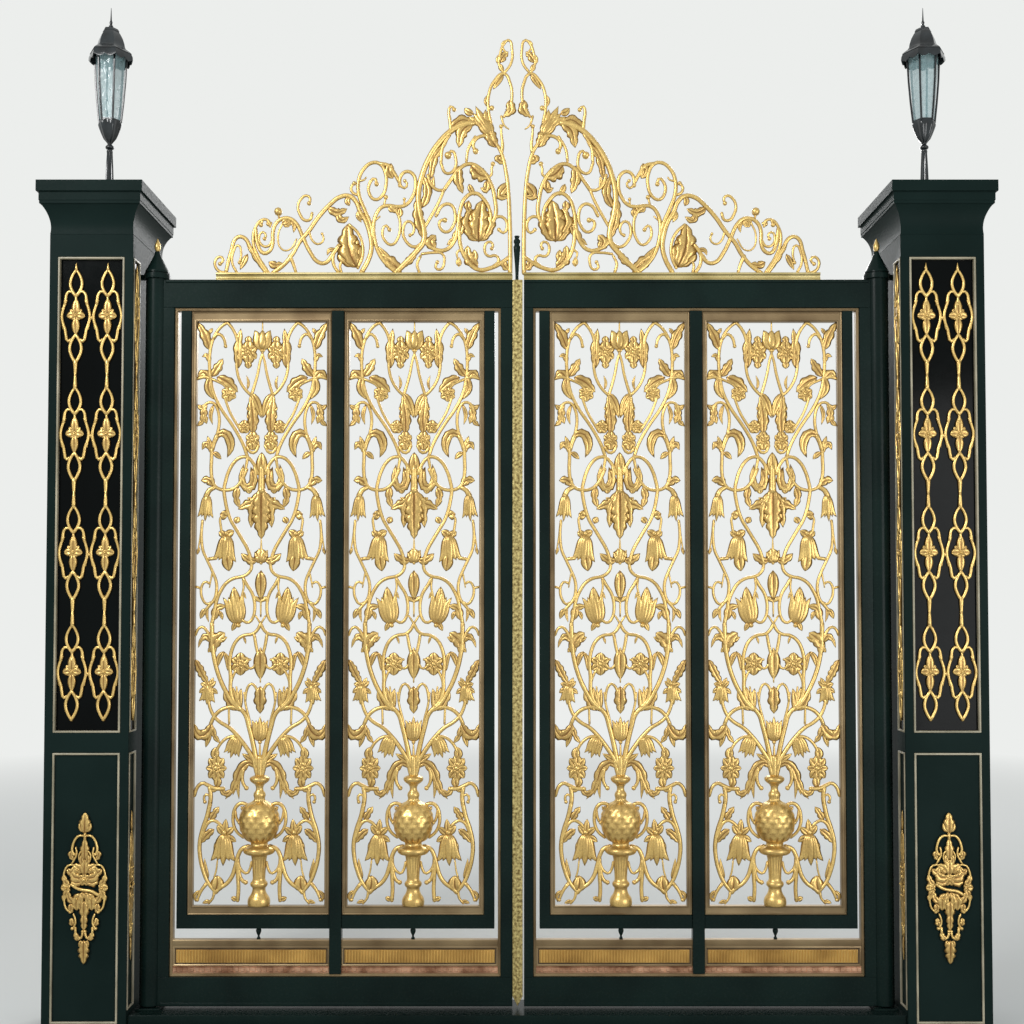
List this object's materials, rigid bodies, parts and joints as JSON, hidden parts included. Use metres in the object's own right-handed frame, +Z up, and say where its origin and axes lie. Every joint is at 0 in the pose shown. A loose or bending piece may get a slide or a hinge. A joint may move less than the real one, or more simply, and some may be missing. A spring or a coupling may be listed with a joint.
{
  "type": "wrought iron driveway gate",
  "caption": "Double-leaf wrought iron driveway gate with gilt scrollwork panels, arched cresting, square pillars and hexagonal pillar lanterns; both leaves swing inwards.",
  "frame": {"origin": "on the ground, at the middle of the flat underside of the sill between the pillars", "axes": "+X to the right seen from the road, +Y away from the road into the property, +Z up"},
  "size_m": [3.89, 0.53, 4.279],
  "materials": {
    "frame": "gloss",
    "pillar": "gloss",
    "gold": "satin",
    "brass": "satin",
    "trim": "satin",
    "lantern": "gloss",
    "glass": "clear"
  },
  "bodies": {
    "gateway": {"sill": "frame", "pillar_left": "pillar", "pillar_right": "pillar", "capital_left": "pillar", "capital_right": "pillar", "panel_trims_left": "trim", "panel_trims_right": "trim", "chain_grilles_left": "gold", "chain_grilles_right": "gold", "plaques_left": "gold", "plaques_right": "gold", "lantern_frame_left": "lantern", "lantern_frame_right": "lantern", "lantern_glass_left": "glass", "lantern_glass_right": "glass", "hinge_fittings_left": "frame", "hinge_fittings_right": "frame"},
    "left_leaf": {"left_heel_post": "frame", "left_stiles": "frame", "left_rails": "frame", "left_mullion": "frame", "left_brass_surround": "brass", "left_kick_plates": "brass", "left_spindles": "frame", "left_panel_carriers": "frame", "left_panel_frames": "brass", "left_scroll_panel_inner": "gold", "left_scroll_panel_outer": "gold", "left_crest_rail": "gold", "left_crest_scrolls": "gold", "astragal": "gold", "centre_bolt": "frame"},
    "right_leaf": {"right_heel_post": "frame", "right_stiles": "frame", "right_rails": "frame", "right_mullion": "frame", "right_brass_surround": "brass", "right_kick_plates": "brass", "right_spindles": "frame", "right_panel_carriers": "frame", "right_panel_frames": "brass", "right_scroll_panel_inner": "gold", "right_scroll_panel_outer": "gold", "right_crest_rail": "gold", "right_crest_scrolls": "gold"}
  },
  "joints": [
    {"name": "left_leaf_hinge", "type": "hinge", "parent": "gateway", "child": "left_leaf", "pos_m": [-1.495, 0, 0.11], "axis": [0, 0, 1], "range_deg": [0, 90]},
    {"name": "right_leaf_hinge", "type": "hinge", "parent": "gateway", "child": "right_leaf", "pos_m": [1.495, 0, 0.11], "axis": [0, 0, -1], "range_deg": [0, 90]}
  ]
}
